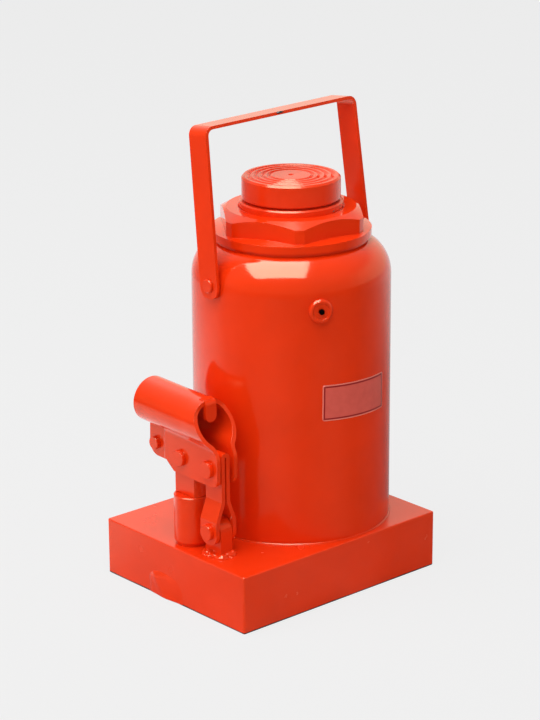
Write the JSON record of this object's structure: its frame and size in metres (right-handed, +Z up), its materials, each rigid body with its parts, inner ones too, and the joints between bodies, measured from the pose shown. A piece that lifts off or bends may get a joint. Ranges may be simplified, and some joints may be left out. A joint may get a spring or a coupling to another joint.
{
  "type": "bottle jack",
  "caption": "Heavy hydraulic bottle jack: rectangular base, round reservoir, hexagon gland nut, grooved saddle on a thick ram, lever pump with a pressed socket, and a folding carrying bail.",
  "frame": {"origin": "on the ram's axis at the floor", "axes": "+Z up along the ram; -Y towards the lever pump; the lever socket lies along X with its mouth towards -X"},
  "size_m": [0.1637, 0.187, 0.3341],
  "materials": {
    "red_enamel": "glossy orange-red enamel",
    "machined_steel": "turned and ground steel",
    "spring_steel": "oiled spring steel",
    "seal_rubber": "black oil-resistant rubber",
    "painted_rubber": "rubber plug under the same enamel",
    "guide_polymer": "plain polymer",
    "soft_gasket": "soft metal gasket",
    "brass_mesh": "plain brass"
  },
  "bodies": {
    "jack_body": {"base_plate": "red_enamel", "gallery_plugs": "machined_steel", "gallery_weld": "red_enamel", "discharge_valve_spring": "spring_steel", "discharge_valve_plug": "machined_steel", "release_valve_ball": "machined_steel", "release_valve_seal": "seal_rubber", "safety_valve_ball": "machined_steel", "safety_valve_spring": "spring_steel", "safety_valve_screw": "machined_steel", "safety_valve_cap": "red_enamel", "oil_strainer": "brass_mesh", "reservoir_tank": "red_enamel", "tank_weld": "red_enamel", "tank_gasket": "seal_rubber", "filler_plug": "painted_rubber", "pressure_cylinder": "machined_steel", "cylinder_gasket": "soft_gasket", "gland_nut": "red_enamel", "gland_seal": "seal_rubber", "wiper_ring": "seal_rubber", "pump_cylinder": "red_enamel", "pump_gasket": "red_enamel", "pump_seal": "seal_rubber", "link_lug": "red_enamel", "lug_weld": "red_enamel", "bail_pivot_studs": "red_enamel"},
    "ram": {"ram": "machined_steel", "piston_seal": "seal_rubber", "piston_guide_ring": "guide_polymer", "saddle": "red_enamel", "saddle_snap_ring": "spring_steel"},
    "bail": {"bail_handle": "red_enamel"},
    "release_screw": {"release_valve_screw": "red_enamel"},
    "link": {"link_strap": "red_enamel", "link_bottom_pin": "red_enamel"},
    "lever_socket": {"handle_socket": "red_enamel", "socket_rivet": "red_enamel", "plunger_pin": "red_enamel", "link_top_pin": "red_enamel"},
    "plunger": {"pump_plunger": "red_enamel"},
    "suction_ball": {"suction_valve_ball": "machined_steel"},
    "discharge_ball": {"discharge_valve_ball": "machined_steel"}
  },
  "joints": [
    {"name": "ram_lift", "type": "slide", "parent": "jack_body", "child": "ram", "axis": [0, 0, 1], "range_m": [0, 0.165]},
    {"name": "bail_swing", "type": "hinge", "parent": "jack_body", "child": "bail", "pos_m": [-0.003, 0, 0.2227], "axis": [0, 1, 0], "range_deg": [-122, 137]},
    {"name": "release_turn", "type": "hinge", "parent": "jack_body", "child": "release_screw", "pos_m": [-0.074, -0.045, 0.013], "axis": [-1, 0, 0], "range_deg": [0, 360]},
    {"name": "link_rock", "type": "hinge", "parent": "jack_body", "child": "link", "pos_m": [0.0288, -0.094, 0.0596], "axis": [0, -1, 0], "range_deg": [0, 7.8]},
    {"name": "lever_swing", "type": "hinge", "parent": "link", "child": "lever_socket", "pos_m": [0.0288, -0.094, 0.1054], "axis": [0, 1, 0], "range_deg": [0, 48]},
    {"name": "plunger_stroke", "type": "slide", "parent": "jack_body", "child": "plunger", "axis": [0, 0, 1], "range_m": [0, 0.0186]},
    {"name": "suction_ball_lift", "type": "slide", "parent": "jack_body", "child": "suction_ball", "axis": [0, 0, 1], "range_m": [0, 0.0012]},
    {"name": "discharge_ball_lift", "type": "slide", "parent": "jack_body", "child": "discharge_ball", "axis": [0, 0, -1], "range_m": [0, 0.0012], "stiffness_N_per_m": 300, "springref_m": -0.0005, "deforming": ["discharge_valve_spring"]}
  ],
  "couplings": [
    {"joint": "link_rock", "follows": "lever_swing", "ratio": 0.1615},
    {"joint": "plunger_stroke", "follows": "lever_swing", "m_per_rad": 0.0221},
    {"joint": "bail_swing", "follows": "ram_lift", "rad_per_m": -12.904}
  ]
}
